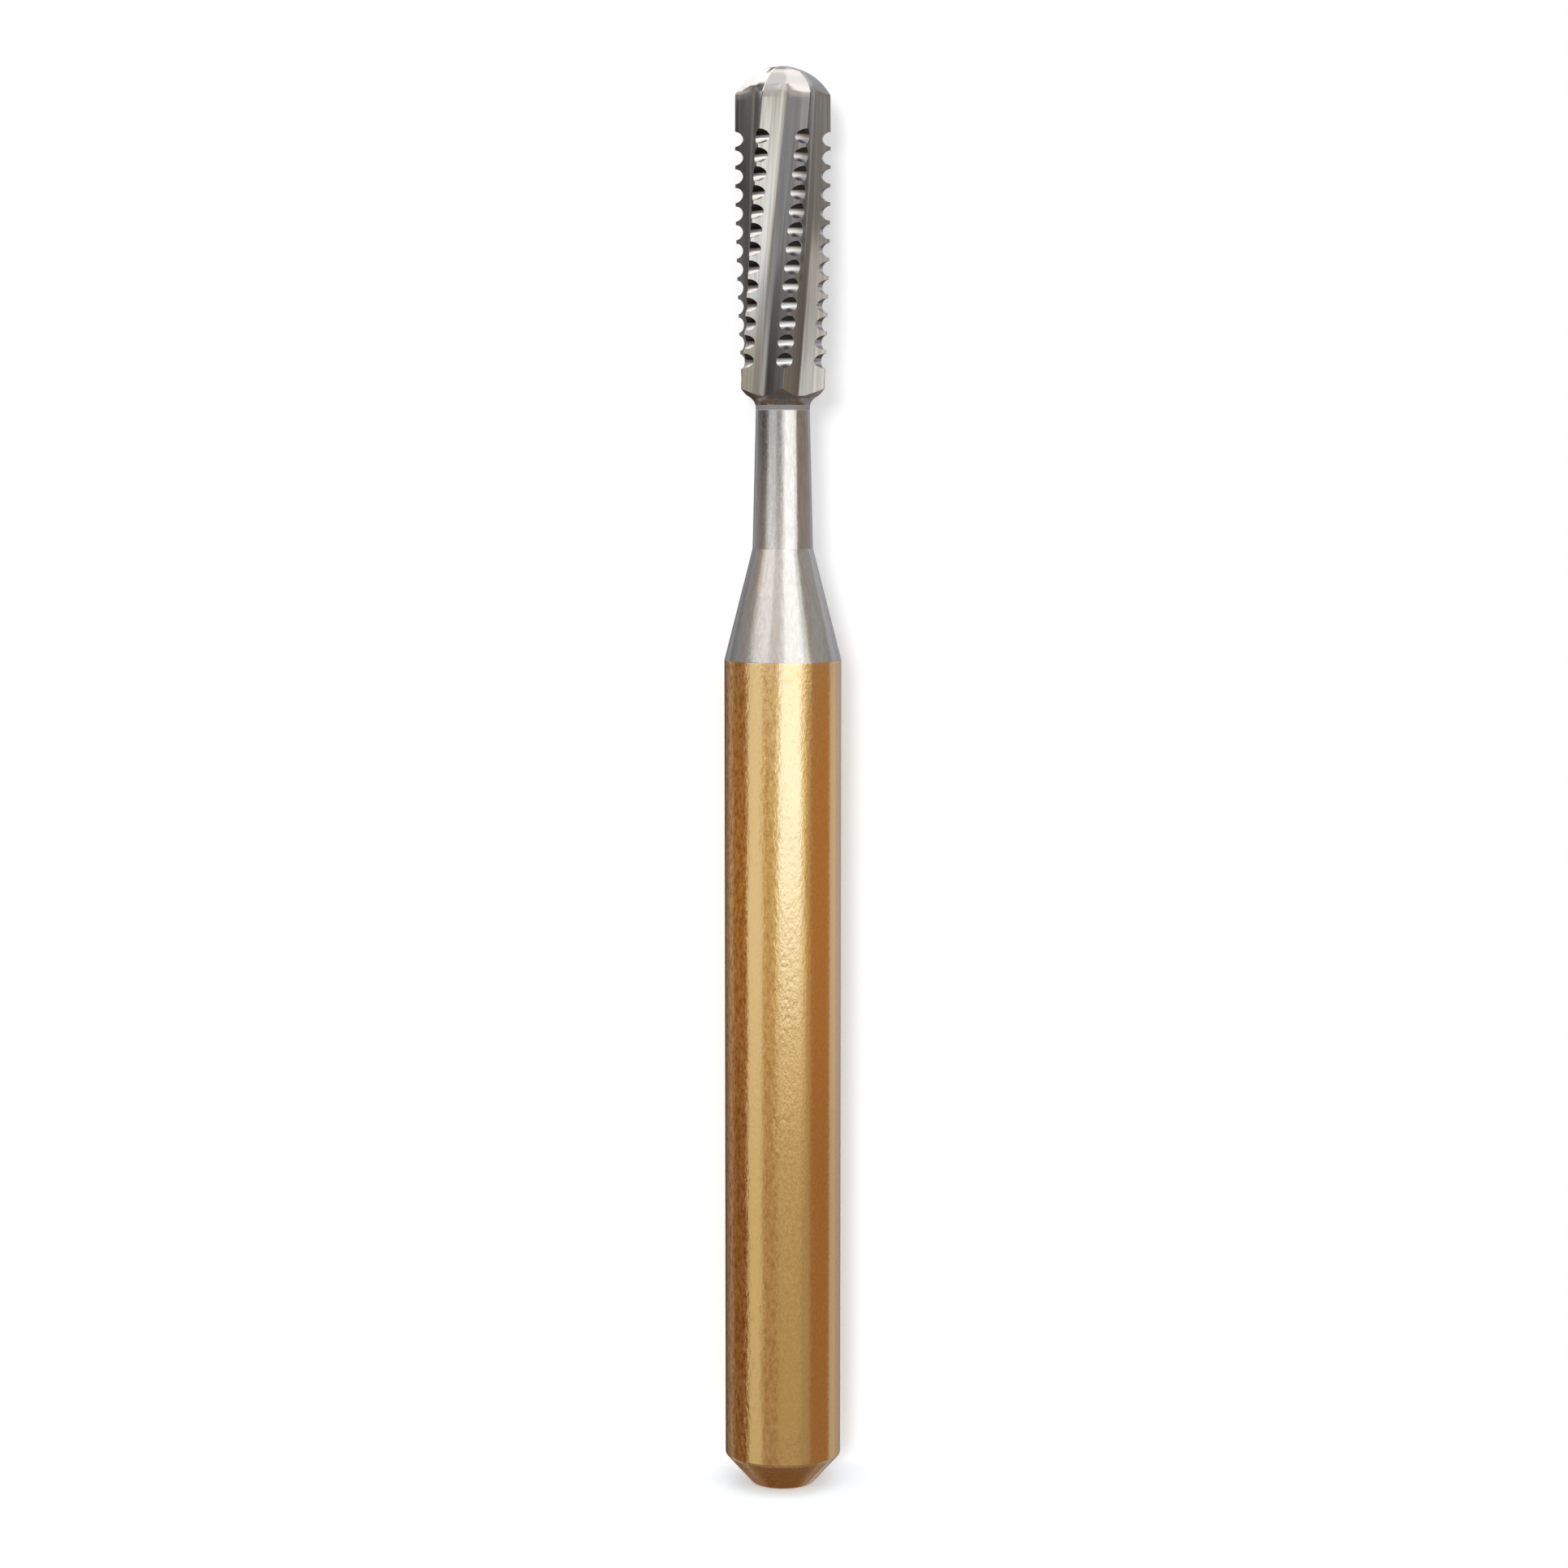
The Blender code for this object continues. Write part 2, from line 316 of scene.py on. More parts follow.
def bare_steel():
    """Bare steel of the cone and neck: grain drawn out along the axis, and a braze film at its top end."""
    graph = Graph("bare_steel")
    point = object_point(graph)
    grain = graph.noise(point, STEEL_GRAIN, 2.0, 0.6)
    streaks = graph.noise(point, STEEL_STREAKS, 2.0, 0.55)
    film = graph.remap(graph.parts(point)["Z"], *BRAZE_FILM, 0.0, 1.0)
    color = graph.mix(graph.remap(streaks, 0.38, 0.62, 0.0, 1.0), STEEL, LIGHT_STEEL)
    color = graph.mix(film, color, BRAZED_STEEL)
    roughness = graph.math("MULTIPLY_ADD", film, 0.32, graph.remap(grain, 0.3, 0.7, 0.11, 0.19))
    relief = graph.bump(grain, STEEL_GRAIN_DEPTH, graph.bump(streaks, STEEL_STREAK_DEPTH))
    return graph.finished(color, roughness, relief, graph.math("MULTIPLY_ADD", film, -0.8, 1.0))


def flute_point(graph):
    """The point turned back by the helix, so that what is drawn out along Z follows the flutes."""
    point = object_point(graph)
    turn = graph.math("MULTIPLY", graph.parts(point)["Z"], -math.tau / HELIX_LEAD)
    inputs = {"Vector": point, "Angle": turn}
    return graph.node("ShaderNodeVectorRotate", inputs, rotation_type="Z_AXIS").outputs[0]


def ground_carbide():
    """Ground tungsten carbide: the wheel's fine lines along the flutes, with painted shade in the valleys
    towards the back.

    The dome is ground across the flutes, so the lines end under it.
    """
    graph = Graph("ground_carbide")
    point = flute_point(graph)
    height = graph.parts(point)["Z"]
    radius = graph.length(graph.product(point, (1.0, 1.0, 0.0)))
    grain = graph.noise(point, CARBIDE_GRAIN, 2.0, 0.6)
    flank = graph.remap(height, *GROUND_LINES_END, 1.0, 0.0)
    lines = graph.math("SUBTRACT", graph.noise(point, GROUND_LINES, 2.0, 0.5), 0.5)
    lines = graph.math("MULTIPLY_ADD", lines, flank, 0.5)
    bands = graph.math("SUBTRACT", graph.noise(point, GROUND_BANDS, 1.0, 0.5), 0.5)
    bands = graph.math("MULTIPLY_ADD", bands, flank, 0.5)
    # Painted shade on the valleys' walls, fading out towards the tip
    valley = graph.remap(radius, *VALLEY_WALL, 0.32, 0.0)
    back = graph.remap(height, *VALLEY_SHADE_END, 1.0, 0.0)
    color = graph.mix(graph.remap(bands, 0.35, 0.65, 0.0, 1.0), CARBIDE, LIGHT_CARBIDE)
    color = graph.mix(graph.math("MULTIPLY", valley, back), color, VALLEY_SHADE_CARBIDE)
    relief = graph.bump(grain, CARBIDE_GRAIN_DEPTH, graph.bump(lines, GROUND_LINE_DEPTH))
    return graph.finished(color, graph.remap(lines, 0.3, 0.7, 0.11, 0.20), relief)


def notch_walls_painted_light():
    """The walls of the cross-cut notches, coloured by the way they face: painted shade on the roof, a painted
    highlight on the floor and a greyer slope below it.

    Where the walls face right, the roof's painted shade is paler and smaller, and the slope is painted
    darker.
    """
    graph = Graph("notch_walls_painted_light")
    point = object_point(graph)
    rings = graph.noise(point, NOTCH_RINGS, 2.0, 0.5)
    grain = graph.noise(point, NOTCH_GRAIN, 2.0, 0.6)
    # Light painted by which way each wall faces: roofs shaded, floors highlighted, slopes lit left and shaded
    # right
    facing = graph.parts(graph.node("ShaderNodeNewGeometry").outputs["Normal"])
    right = graph.remap(facing["X"], -0.45, -0.10, 0.0, 1.0)
    upward = graph.math("MULTIPLY_ADD", right, 0.22, graph.math("ADD", facing["Z"], -0.08))
    roof_shade = graph.remap(upward, -0.30, -0.14, 1.0, 0.0)
    under_roof_shade = graph.remap(upward, 0.0, 0.28, 1.0, 0.0)
    slope = graph.remap(facing["Z"], 0.30, 0.55, 0.0, 1.0)
    color = graph.mix(grain, NOTCH_FLOOR_HIGHLIGHT, LIGHT_NOTCH_FLOOR_HIGHLIGHT)
    color = graph.mix(under_roof_shade, color, UNDER_NOTCH_ROOF_HALF_SHADE)
    color = graph.mix(slope, color, graph.mix(right, LIT_LEFT_NOTCH_SLOPE, SHADED_RIGHT_NOTCH_SLOPE))
    color = graph.mix(roof_shade, color, graph.mix(right, LEFT_NOTCH_ROOF_SHADE, RIGHT_NOTCH_ROOF_SHADE))
    relief = graph.bump(grain, NOTCH_GRAIN_DEPTH, graph.bump(rings, NOTCH_RING_DEPTH))
    return graph.finished(color, graph.remap(grain, 0.3, 0.7, 0.24, 0.36), relief)


def cutting_edge():
    """The narrow lands on the blades' crests, darkened to a dull lavender grey."""
    graph = Graph("cutting_edge")
    grain = graph.noise(object_point(graph), LAND_GRAIN, 2.0, 0.6)
    return graph.finished(graph.mix(grain, LAND, LIGHT_LAND), 0.38)


def brazed_ring():
    """The foot of the fillet round the joint, where the braze leaves an even blue-grey film."""
    graph = Graph("brazed_ring")
    grain = graph.noise(object_point(graph), BRAZE_GRAIN, 2.0, 0.6)
    return graph.finished(graph.mix(grain, BRAZE, LIGHT_BRAZE), 0.5, metallic=0.2)


def new_object(name, bm, materials):
    """What bm holds, as an object of the scene."""
    mesh = bpy.data.meshes.new(name)
    bm.to_mesh(mesh)
    bm.free()
    for material in materials:
        mesh.materials.append(material)
    new = bpy.data.objects.new(name, mesh)
    bpy.context.scene.collection.objects.link(new)
    return new


def finished_piece(name, bm, materials):
    bmesh.ops.remove_doubles(bm, verts=bm.verts, dist=MERGE_DISTANCE)
    bmesh.ops.recalc_face_normals(bm, faces=bm.faces)
    piece = new_object(name, bm, materials)
    piece.data.shade_smooth()
    piece.data.set_sharp_from_angle(angle=SHARP_ANGLE)
    return piece


def rounded_corner(before, corner, after, radius, steps):
    """The arc that rounds one corner of an outline, no larger than its shorter side allows."""
    to_before = before - corner
    to_after = after - corner
    half_angle = to_before.angle(to_after) / 2
    room = min(to_before.length, to_after.length) / 2
    tangent = min(radius / math.tan(half_angle), room)
    radius = tangent * math.tan(half_angle)
    start = corner + to_before.normalized() * tangent
    bisector = (to_before.normalized() + to_after.normalized()).normalized()
    centre = corner + bisector * (radius / math.sin(half_angle))
    turn = (start - centre).angle_signed(corner + to_after.normalized() * tangent - centre)
    points = []
    for step in range(steps + 1):
        rotation = Matrix.Rotation(-turn * step / steps, 2)
        points.append(centre + rotation @ (start - centre))
    return points


def shank_outline():
    """Half of the shank's section as (radius, height) points, from its end face up to the brazed joint."""
    chamfer_top = (SHANK_RADIUS - END_FACE_RADIUS) / math.tan(CHAMFER_ANGLE)
    corners = [
        (Vector((0, 0)), 0),
        (Vector((END_FACE_RADIUS, 0)), END_FACE_ROUNDING),
        (Vector((SHANK_RADIUS, chamfer_top)), CHAMFER_EDGE_ROUNDING),
        (Vector((SHANK_RADIUS, SHANK_LENGTH)), CONE_EDGE_ROUNDING),
        (Vector((NECK_FOOT_RADIUS, SHANK_LENGTH + CONE_LENGTH)), NECK_FOOT_ROUNDING),
        (Vector((NECK_RADIUS, JOINT_HEIGHT)), 0),
        (Vector((0, JOINT_HEIGHT)), 0),
    ]
    outline = []
    for index, (corner, rounding) in enumerate(corners):
        if rounding:
            before = corners[index - 1][0]
            after = corners[index + 1][0]
            outline += rounded_corner(before, corner, after, rounding, ROUNDING_STEPS)
        else:
            outline.append(corner)
    return outline


def make_shank():
    bm = bmesh.new()
    verts = [bm.verts.new((radius, 0, height)) for radius, height in shank_outline()]
    edges = [bm.edges.new(pair) for pair in zip(verts, verts[1:])]
    bmesh.ops.spin(
        bm,
        geom=verts + edges,
        axis=(0, 0, 1),
        cent=(0, 0, 0),
        steps=SHANK_SEGMENTS,
        angle=math.tau,
        use_merge=True,
    )
    for face in bm.faces:
        face.material_index = int(face.calc_center_median().z > SHANK_LENGTH)
    return finished_piece("plated_shank", bm, [gold_plating(), bare_steel()])


def back_outline():
    """Fillet out of the neck, then the cone up to the blades' back corner, as (radius, height) points."""
    points = []
    for step in range(ROUNDING_STEPS + 1):
        slope = BACK_SLOPE * step / ROUNDING_STEPS
        radius = NECK_RADIUS + BACK_FILLET * (1 - math.cos(slope))
        points.append((radius, BACK_FILLET * math.sin(slope)))
    fillet_radius, fillet_top = points[-1]
    back_edge = TIP_HEIGHT - JOINT_HEIGHT - CUTTING_LENGTH
    for step in range(1, ROUNDING_STEPS + 1):
        share = step / ROUNDING_STEPS
        radius = fillet_radius + share * (HEAD_RADIUS - fillet_radius)
        points.append((radius, fillet_top + share * (back_edge - fillet_top)))
    return points


def notch_outline(head_length):
    """Every cross-cut notch from the lowest up, each a half ellipse turned into the cylinder."""
    run = CUTTING_LENGTH - TIP_TO_FIRST_NOTCH - LAST_NOTCH_TO_BACK
    count = int(run / NOTCH_PITCH) + 1
    half_width = (NOTCH_PITCH - TOOTH_LAND) / 2
    points = []
    for number in reversed(range(count)):
        centre = head_length - TIP_TO_FIRST_NOTCH - number * NOTCH_PITCH
        for step in range(NOTCH_STEPS + 1):
            turn = math.pi * (step / NOTCH_STEPS - 0.5)
            radius = HEAD_RADIUS - NOTCH_DEPTH * math.cos(turn)
            points.append((radius, centre + half_width * math.sin(turn)))
    return points


def dome_outline(head_length):
    cap_radius = (HEAD_RADIUS**2 + DOME_HEIGHT**2) / (2 * DOME_HEIGHT)
    centre = head_length - cap_radius
    opening = math.asin(HEAD_RADIUS / cap_radius)
    points = []
    for step in range(DOME_STEPS + 1):
        tilt = opening * (1 - step / DOME_STEPS)
        points.append((cap_radius * math.sin(tilt), centre + cap_radius * math.cos(tilt)))
    return points


def filled_outline(outline):
    """The outline with points added on its long plain stretches, so that the helix is smooth there."""
    result = [outline[0]]
    for (low_radius, low), (high_radius, high) in zip(outline, outline[1:]):
        pieces = max(1, round((high - low) / PLAIN_STEP))
        for step in range(1, pieces + 1):
            share = step / pieces
            result.append((low_radius + share * (high_radius - low_radius), low + share * (high - low)))
    return result


def polar(radius, angle):
    return Vector((radius * math.cos(angle), radius * math.sin(angle)))


def blade_section(tooth_radius):
    """One full blade, seen along the axis, as points about its cutting edge.

    From the valley behind it: half of that valley's round, the back face, the land, the rake face and
    half of the next valley's round.
    """
    pitch = math.tau / BLADES
    valley_radius = min(VALLEY_RADIUS, DOME_VALLEY_SHARE * tooth_radius)
    valley_behind = polar(valley_radius, RAKE_FACE_SPAN - pitch)
    valley_ahead = polar(valley_radius, RAKE_FACE_SPAN)
    heel = polar(tooth_radius, -LAND_SPAN)
    edge = polar(tooth_radius, 0)
    edge_behind = polar(tooth_radius, -pitch)
    heel_ahead = polar(tooth_radius, pitch - LAND_SPAN)
    steps = 2 * VALLEY_STEPS
    behind = rounded_corner(edge_behind, valley_behind, heel, VALLEY_ROUNDING, steps)[VALLEY_STEPS:]
    ahead = rounded_corner(edge, valley_ahead, heel_ahead, VALLEY_ROUNDING, steps)[:VALLEY_STEPS]
    back_face = [behind[-1].lerp(heel, step / FACE_STEPS) for step in range(1, FACE_STEPS)]
    rake_face = [edge.lerp(ahead[0], step / FACE_STEPS) for step in range(1, FACE_STEPS)]
    land = [polar(tooth_radius, -LAND_SPAN * (1 - step / LAND_STEPS)) for step in range(LAND_STEPS + 1)]
    return behind + back_face, land, rake_face + ahead


def crossing_angle(inner, outer, radius):
    """The angle at which the straight face from inner to outer reaches this radius."""
    run = outer - inner
    along = inner.dot(run)
    excess = inner.length_squared - radius**2
    share = (math.sqrt(max(along**2 - run.length_squared * excess, 0)) - along) / run.length_squared
    crossing = inner + run * min(max(share, 0), 1)
    return math.atan2(crossing.y, crossing.x)


def ring_points(radius, tooth_radius):
    """One blade's (radius, angle) points where the turned blank is down to this radius."""
    behind, land, ahead = blade_section(tooth_radius)
    heel = land[0]
    edge = land[-1]
    first = crossing_angle(behind[VALLEY_STEPS], heel, radius)
    last = crossing_angle(ahead[FACE_STEPS - 1], edge, radius)
    points = []
    for point in behind:
        angle = min(math.atan2(point.y, point.x), first)
        points.append((min(point.length, radius), angle))
    for step in range(LAND_STEPS + 1):
        points.append((radius, first + (last - first) * step / LAND_STEPS))
    for point in ahead:
        angle = max(math.atan2(point.y, point.x), last)
        points.append((min(point.length, radius), angle))
    return points


def on_dome(height, head_length):
    return height > head_length - DOME_HEIGHT + TOLERANCE


def head_ring(bm, radius, height, head_length):
    tooth_radius = max(radius, TIP_POINT) if on_dome(height, head_length) else HEAD_RADIUS
    blade = ring_points(radius, tooth_radius)
    helix_angle = FIRST_EDGE_ANGLE + math.tau * height / HELIX_LEAD
    ring = []
    for number in range(BLADES):
        edge_angle = helix_angle + math.tau * number / BLADES
        for point_radius, point_angle in blade:
            angle = edge_angle + point_angle
            right = point_radius * math.sin(angle)
            front = point_radius * math.cos(angle)
            ring.append(bm.verts.new((right, -front, JOINT_HEIGHT + height)))
    return ring


def make_head():
    """The turned blank with its flutes: a loft through the cross-sections at every point of its outline."""
    head_length = TIP_HEIGHT - JOINT_HEIGHT
    outline = back_outline() + notch_outline(head_length) + dome_outline(head_length)
    outline = filled_outline(outline)
    bm = bmesh.new()
    rings = [head_ring(bm, radius, height, head_length) for radius, height in outline]
    braze_top = BRAZED_SHARE * BACK_FILLET * math.sin(BACK_SLOPE)
    back_edge = head_length - CUTTING_LENGTH
    blade_points = len(rings[0]) // BLADES
    land_start = VALLEY_STEPS + FACE_STEPS
    for level, (low, high) in enumerate(zip(rings, rings[1:])):
        low_radius, low_height = outline[level]
        high_radius, high_height = outline[level + 1]
        on_flank = low_height >= back_edge and not on_dome(high_height, head_length)
        in_notch = min(low_radius, high_radius) < HEAD_RADIUS - TOLERANCE
        for index in range(len(low)):
            face = bm.faces.new((low[index - 1], low[index], high[index], high[index - 1]))
            on_land = land_start < index % blade_points <= land_start + LAND_STEPS
            if high_height < braze_top:
                face.material_index = BRAZED
            elif on_land and on_flank:
                face.material_index = NOTCHED if in_notch else EDGE
    bm.faces.new(reversed(rings[0]))
    materials = [ground_carbide(), notch_walls_painted_light(), cutting_edge(), brazed_ring()]
    return finished_piece("fluted_head", bm, materials)


def soft_edge(value, low, high, softness):
    """1 inside a range and 0 outside it, with soft borders."""
    rise = min(max((value - low) / softness + 0.5, 0.0), 1.0)
    fall = min(max((high - value) / softness + 0.5, 0.0), 1.0)
    share = min(rise, fall)
    return share * share * (3 - 2 * share)


# The studio is a round tent about the tool. Each band of its wall is (lowest height, highest height and
# softness of its borders, in millimetres, its cards), and each card is (azimuth from, azimuth to, colour
# of its light). Past 110 mm up or down, a height runs on from the wall's edge towards the tent's middle.
# A later band or card covers an earlier one.
STUDIO = [
    # Under the table's edge: brown before, below and behind the tool, grey-blue beside it, one pale strip
    (-400, -23, 4, [
        (-180, 180, (0.46, 0.49, 0.56)),
        (-180, -146, (0.27, 0.17, 0.116)),
        (-118, 100, (0.31, 0.235, 0.17)),
        (146, 180, (0.27, 0.17, 0.116)),
    ]),
    (-400, -75, 6, [
        (-180, 180, (0.30, 0.26, 0.25)),
        (-180, -125, (0.27, 0.17, 0.11)),
        (125, 180, (0.27, 0.17, 0.11)),
    ]),
    (-400, -105, 12, [(-180, -125, (0.205, 0.11, 0.055)), (125, 180, (0.205, 0.11, 0.055))]),
    (-78, -60, 4, [(138, 153, (0.36, 0.27, 0.24))]),
    (-62, -34, 4, [(156, 172, (0.52, 0.50, 0.52))]),
    # What the plated cylinder sees: its lower half first, then its upper half
    (-23, 6, 6, [
        (-180, -149, (0.11, 0.07, 0.045)),
        (-149, -131, (0.25, 0.18, 0.15)),
        (-131, -115, (0.37, 0.27, 0.22)),
        (-115, -74, (0.26, 0.132, 0.058)),
        (-74, -41, (0.72, 0.65, 0.48)),
        (-41, -11, (0.47, 0.34, 0.205)),
        (-11, 38, (0.53, 0.42, 0.25)),
        (38, 56, (0.45, 0.34, 0.21)),
        (56, 106, (0.365, 0.195, 0.085)),
        (106, 130, (0.57, 0.51, 0.47)),
        (130, 148, (0.48, 0.42, 0.42)),
        (148, 166, (0.40, 0.33, 0.30)),
        (166, 180, (0.25, 0.22, 0.24)),
    ]),
    (-5.5, 11, 9, [
        (-180, -149, (0.14, 0.095, 0.07)),
        (-149, -131, (0.30, 0.20, 0.14)),
        (-131, -115, (0.47, 0.37, 0.29)),
        (-115, -74, (0.385, 0.20, 0.075)),
        (-74, -40, (0.91, 0.88, 0.77)),
        (-40, -16, (0.66, 0.52, 0.29)),
        (-16, 46, (0.95, 0.86, 0.60)),
        (48, 57, (0.57, 0.43, 0.23)),
        (57, 106, (0.45, 0.245, 0.10)),
        (106, 130, (0.68, 0.63, 0.60)),
        (130, 148, (0.54, 0.51, 0.56)),
        (148, 166, (0.45, 0.40, 0.40)),
        (166, 180, (0.30, 0.27, 0.30)),
    ]),
    (-0.5, 11, 9, [(-8, 37, (1.42, 1.74, 2.20))]),
    # What the neck and the flutes' cutting faces see, from the neck's foot up
    (9.7, 19, 3, [
        (-180, -145, (0.26, 0.26, 0.28)),
        (-145, -130, (0.42, 0.42, 0.44)),
        (-130, -105, (0.33, 0.31, 0.32)),
        (-105, -80, (0.32, 0.27, 0.25)),
        (-80, -69, (0.45, 0.38, 0.34)),
        (-69, -56, (0.88, 0.84, 0.81)),
        (-56, -29, (1.14, 1.14, 1.12)),
        (-29, -9, (0.90, 0.81, 0.76)),
        (-9, 1, (1.10, 1.01, 0.93)),
        (1, 48, (1.60, 1.60, 1.57)),
        (48, 59, (1.12, 1.09, 1.03)),
        (57, 108, (0.37, 0.32, 0.275)),
        (108, 130, (0.37, 0.31, 0.29)),
        (130, 180, (0.42, 0.41, 0.44)),
    ]),
    (13.0, 15.2, 0.9, [
        (-69, -56, (1.02, 0.95, 0.89)),
        (-56, -29, (1.28, 1.22, 1.16)),
        (-29, -9, (1.00, 0.91, 0.84)),
        (-9, 1, (1.22, 1.14, 1.06)),
    ]),
    (7.6, 9.2, 0.8, [(-32, -13, (0.95, 0.90, 0.76))]),
    (9.2, 10.8, 0.8, [(-32, -12, (0.38, 0.38, 0.38))]),
    (15.9, 20, 2, [
        (-180, -128, (0.28, 0.28, 0.30)),
        (-147, -130, (0.44, 0.44, 0.44)),
        (-128, -93, (0.12, 0.125, 0.14)),
        (-97, -60, (0.020, 0.018, 0.016)),
        (-60, -25, (0.68, 0.70, 0.74)),
        (-25, 2, (0.26, 0.24, 0.22)),
        (2, 9, (0.75, 0.72, 0.66)),
        (9, 56, (1.62, 1.64, 1.58)),
        (56, 62, (1.10, 1.06, 0.98)),
        (58, 108, (0.26, 0.21, 0.18)),
        (108, 130, (0.31, 0.25, 0.23)),
        (130, 180, (0.40, 0.42, 0.44)),
    ]),
    # What the flutes see: low, middle and high
    (18.3, 25, 2, [
        (-180, -128, (0.30, 0.30, 0.31)),
        (-128, -84, (0.085, 0.09, 0.105)),
        (-84, -66, (0.20, 0.20, 0.215)),
        (-66, -28, (0.49, 0.495, 0.51)),
        (-28, -5, (0.48, 0.465, 0.455)),
        (-5, 34, (1.36, 1.33, 1.25)),
        (34, 44, (1.08, 1.03, 0.91)),
        (44, 62, (0.94, 0.87, 0.74)),
        (62, 115, (0.33, 0.30, 0.27)),
        (115, 180, (0.52, 0.52, 0.54)),
    ]),
    (19.8, 25, 1.5, [(-136, -84, (0.25, 0.245, 0.245)), (-84, -68, (0.30, 0.30, 0.31))]),
    (23.5, 36, 3, [
        (-180, -136, (1.25, 1.25, 1.35)),
        (-136, -104, (0.37, 0.36, 0.36)),
        (-104, -80, (0.38, 0.33, 0.30)),
        (-80, -60, (0.37, 0.37, 0.38)),
        (-60, -5, (0.41, 0.415, 0.455)),
        (-5, 18, (0.92, 0.87, 0.80)),
        (18, 34, (1.36, 1.32, 1.26)),
        (34, 60, (0.98, 0.92, 0.87)),
        (60, 115, (0.34, 0.31, 0.28)),
        (115, 180, (0.56, 0.57, 0.60)),
    ]),
    (25.7, 36, 1.5, [(60, 115, (0.43, 0.41, 0.385))]),
    # What the cone sees
    (32.5, 51, 3, [
        (-180, -131, (0.22, 0.22, 0.21)),
        (-131, -93, (0.38, 0.34, 0.32)),
        (-93, -79, (0.58, 0.48, 0.42)),
        (-79, -68, (1.05, 0.92, 0.81)),
        (-68, -57, (1.30, 1.23, 1.16)),
        (-57, -28, (1.24, 1.18, 1.13)),
        (-28, -8, (0.89, 0.81, 0.74)),
        (-8, 2, (1.04, 0.98, 0.91)),
        (2, 46, (1.57, 1.55, 1.51)),
        (46, 57, (1.02, 1.00, 0.92)),
        (57, 108, (0.43, 0.37, 0.32)),
        (108, 180, (0.64, 0.64, 0.68)),
    ]),
    # Overhead softbox, shaded towards its right
    (49.5, 400, 4, [
        (-180, 20, (2.24, 2.17, 2.17)),
        (20, 28, (1.80, 1.76, 1.78)),
        (28, 60, (1.20, 1.19, 1.25)),
        (60, 110, (0.70, 0.72, 0.78)),
        (110, 180, (0.60, 0.62, 0.66)),
    ]),
    (100, 400, 24, [
        (-180, 180, (2.14, 2.05, 2.02)),
        (-10, 170, (1.90, 1.84, 1.83)),
        (14, 156, (1.66, 1.62, 1.63)),
        (38, 140, (1.42, 1.40, 1.43)),
    ]),
]

# The bare tent's light and its size, and in degrees the fineness of its wall and the softness of the cards
TENT_GREY = (0.3, 0.3, 0.3)
TENT_RADIUS = 0.060
TENT_TOP = 0.110
AZIMUTH_STEP = 1.5
ELEVATION_STEP = 1.0
CAP_RINGS = 12
AZIMUTH_SOFTNESS = 5.0


def card_share(azimuth, left, right):
    """1 on a card and 0 beside it, with soft borders. A card may go all the way round."""
    if right - left == 360:
        return 1.0
    return max(soft_edge(azimuth + turn, left, right, AZIMUTH_SOFTNESS) for turn in (-360, 0, 360))


def studio_light(azimuth, height):
    """The light's colour on the tent at an azimuth in degrees and a height in millimetres."""
    color = TENT_GREY
    for low, high, softness, cards in STUDIO:
        level = soft_edge(height, low, high, softness)
        for left, right, light in cards:
            across = card_share(azimuth, left, right)
            color = tuple(old + (new - old) * level * across for old, new in zip(color, light))
    return color


def tent_outline():
    """Half of the tent's section, from the bottom's centre, as (radius, height, height along its surface)."""
    points = []
    for step in range(CAP_RINGS):
        radius = max(TENT_RADIUS * step / CAP_RINGS, TIP_POINT)
        points.append((radius, -TENT_TOP, -TENT_TOP - TENT_RADIUS + radius))
    steepest = math.degrees(math.atan(TENT_TOP / TENT_RADIUS))
    rows = round(2 * steepest / ELEVATION_STEP)
    for row in range(rows + 1):
        height = TENT_RADIUS * math.tan(math.radians(steepest * (2 * row / rows - 1)))
        points.append((TENT_RADIUS, height, height))
    for step in reversed(range(CAP_RINGS)):
        radius = max(TENT_RADIUS * step / CAP_RINGS, TIP_POINT)
        points.append((radius, TENT_TOP, TENT_TOP + TENT_RADIUS - radius))
    return points


def make_studio():
    """A camera-blind tent of softboxes, cards and flags, which only the metal's reflections show."""
    bm = bmesh.new()
    columns = round(360 / AZIMUTH_STEP)
    layer = bm.verts.layers.float_color.new("light")
    grid = []
    for radius, height, level in tent_outline():
        line = []
        for column in range(columns):
            azimuth = -180 + 360 * column / columns
            turn = math.radians(azimuth)
            vert = bm.verts.new((radius * math.sin(turn), -radius * math.cos(turn), height))
            vert[layer] = (*studio_light(azimuth, level * 1000), 1.0)
            line.append(vert)
        grid.append(line)
    for low, high in zip(grid, grid[1:]):
        for index in range(columns):
            bm.faces.new((low[index - 1], low[index], high[index], high[index - 1]))
    graph = Graph("studio_light")
    light = graph.node("ShaderNodeAttribute", attribute_name="light").outputs["Color"]
    material = graph.showing(graph.node("ShaderNodeEmission", {"Color": light}).outputs[0])
    material.cycles.emission_sampling = "NONE"
    studio = new_object("studio", bm, [material])
    studio.visible_camera = False
    studio.visible_diffuse = False
    studio.visible_shadow = False
    studio.visible_transmission = False


FLOOR_RADIUS = 0.012
FLOOR_SEGMENTS = 96
FLOOR_COLOR = (0.87, 0.93, 0.99)
FLOOR_LIFT = 0.17
BACKDROP_DISTANCE = 0.00095
BACKDROP_HEIGHT = 0.024
BACKDROP_COLOR = (0.93, 0.93, 0.935)
BACKDROP_LIFT = 0.06
FADE_START = 0.1 * FLOOR_RADIUS
FADE_END = 0.5 * FLOOR_RADIUS


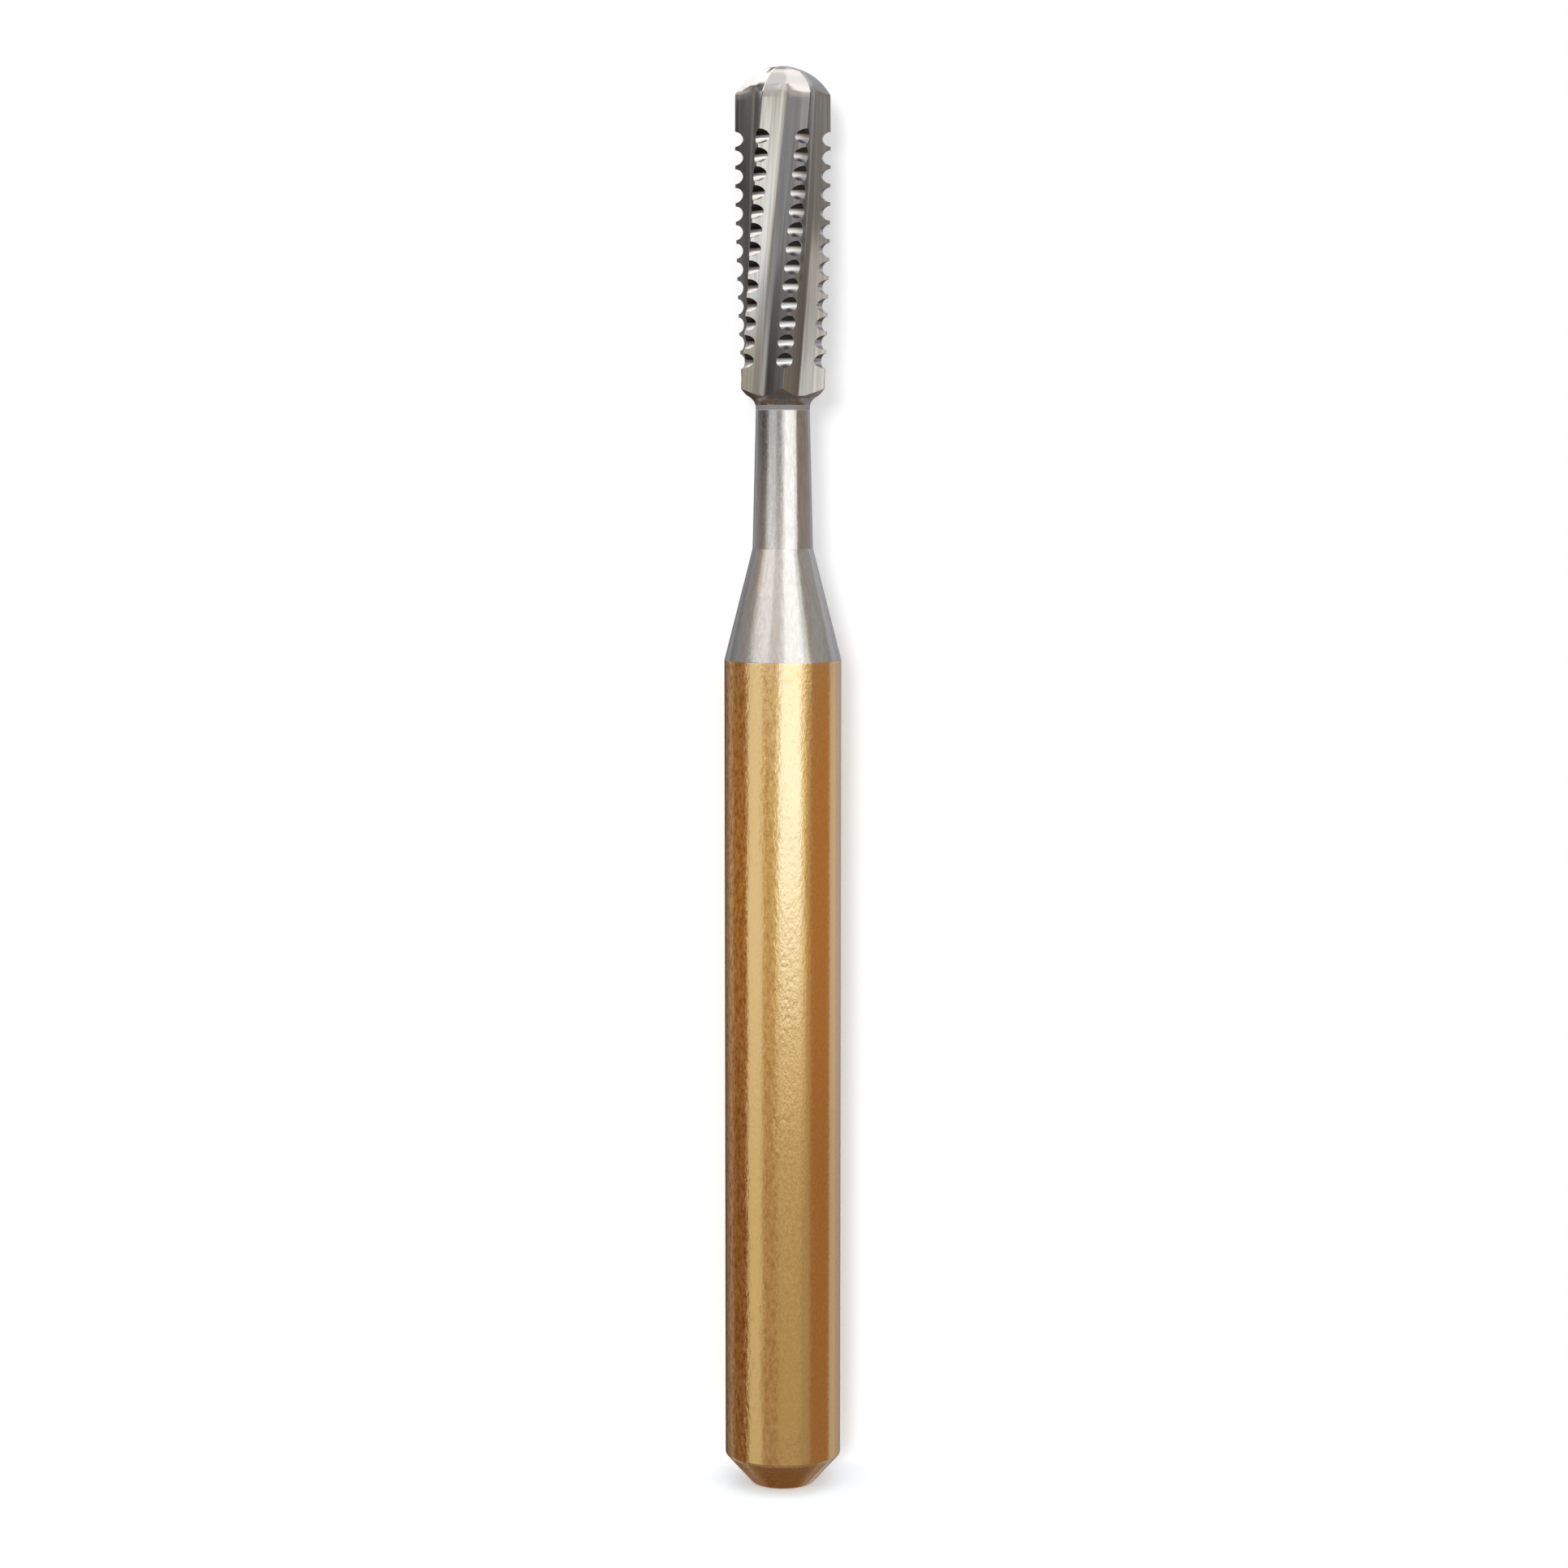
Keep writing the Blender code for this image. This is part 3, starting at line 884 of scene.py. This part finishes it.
def shadow_catcher(name, color, lift, axes):
    """White that keeps the tool's soft shadow, fades to the white backdrop and is clear from behind.

    The fade runs with the distance along these axes of the card's own space.
    """
    graph = Graph(name)
    distance = graph.length(graph.product(object_point(graph), axes))
    path = graph.node("ShaderNodeLightPath").outputs
    mirrored = graph.math("ADD", path["Is Glossy Ray"], path["Is Transmission Ray"])
    looked_at = graph.math("ADD", path["Is Camera Ray"], mirrored)
    plain = graph.math("MULTIPLY", graph.remap(distance, FADE_START, FADE_END, 0.0, 1.0), looked_at)
    matt = graph.node("ShaderNodeBsdfDiffuse", {"Color": opaque(color)}).outputs[0]
    glow = graph.node("ShaderNodeEmission", {"Strength": lift}).outputs[0]
    shaded = graph.node("ShaderNodeAddShader", {0: matt, 1: glow}).outputs[0]
    white = graph.node("ShaderNodeEmission").outputs[0]
    front = graph.node("ShaderNodeMixShader", {0: plain, 1: shaded, 2: white}).outputs[0]
    clear = graph.node("ShaderNodeBsdfTransparent").outputs[0]
    from_behind = graph.node("ShaderNodeNewGeometry").outputs["Backfacing"]
    one_sided = graph.node("ShaderNodeMixShader", {0: from_behind, 1: front, 2: clear}).outputs[0]
    return graph.showing(one_sided)


def staged_card(name, bm, material):
    card = new_object(name, bm, [material])
    card.visible_glossy = False


def make_floor():
    bm = bmesh.new()
    bmesh.ops.create_circle(bm, cap_ends=True, radius=FLOOR_RADIUS, segments=FLOOR_SEGMENTS)
    staged_card("floor", bm, shadow_catcher("pale_floor", FLOOR_COLOR, FLOOR_LIFT, (1.0, 1.0, 0.0)))


def make_backdrop():
    """A white wall close behind the tool, which takes the soft shadow at its right-hand side."""
    bm = bmesh.new()
    corners = []
    for side, height in ((-1, 0), (1, 0), (1, BACKDROP_HEIGHT), (-1, BACKDROP_HEIGHT)):
        corners.append(bm.verts.new((side * FLOOR_RADIUS, BACKDROP_DISTANCE, height)))
    bm.faces.new(corners)
    material = shadow_catcher("pale_backdrop", BACKDROP_COLOR, BACKDROP_LIFT, (1.0, 0.0, 0.0))
    staged_card("backdrop", bm, material)


def make_world():
    world = bpy.data.worlds.new("studio_white")
    bpy.context.scene.world = world
    world.use_nodes = True
    background = world.node_tree.nodes["Background"]
    background.inputs["Color"].default_value = (1.0, 1.0, 1.0, 1.0)
    background.inputs["Strength"].default_value = 1.0


KEY_STRENGTH = 1.0
KEY_ANGLE = math.radians(16.0)
KEY_TILT = math.radians(79)
KEY_TURN = math.radians(-12)


def make_key_lamp():
    lamp = bpy.data.lights.new("key", "SUN")
    lamp.energy = KEY_STRENGTH
    lamp.angle = KEY_ANGLE
    key = bpy.data.objects.new("key", lamp)
    key.rotation_euler = (KEY_TILT, 0, KEY_TURN)
    key.visible_glossy = False
    bpy.context.scene.collection.objects.link(key)


def make_camera():
    data = bpy.data.cameras.new("camera")
    data.sensor_width = SENSOR_WIDTH
    data.lens = CAMERA_LENS
    data.clip_start = CLIP_START
    data.clip_end = CLIP_END
    camera = bpy.data.objects.new("camera", data)
    camera.location = CAMERA_PLACE
    camera.rotation_euler = (math.pi / 2 - CAMERA_PITCH, 0, 0)
    bpy.context.scene.collection.objects.link(camera)
    bpy.context.scene.camera = camera


make_camera()
make_world()
make_studio()
make_floor()
make_backdrop()
make_key_lamp()

shank = make_shank()
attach(shank, "root")
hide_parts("shank")

head = make_head()
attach(head, "root")
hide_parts("cutting_head")

bpy.context.scene.view_settings.view_transform = "Standard"
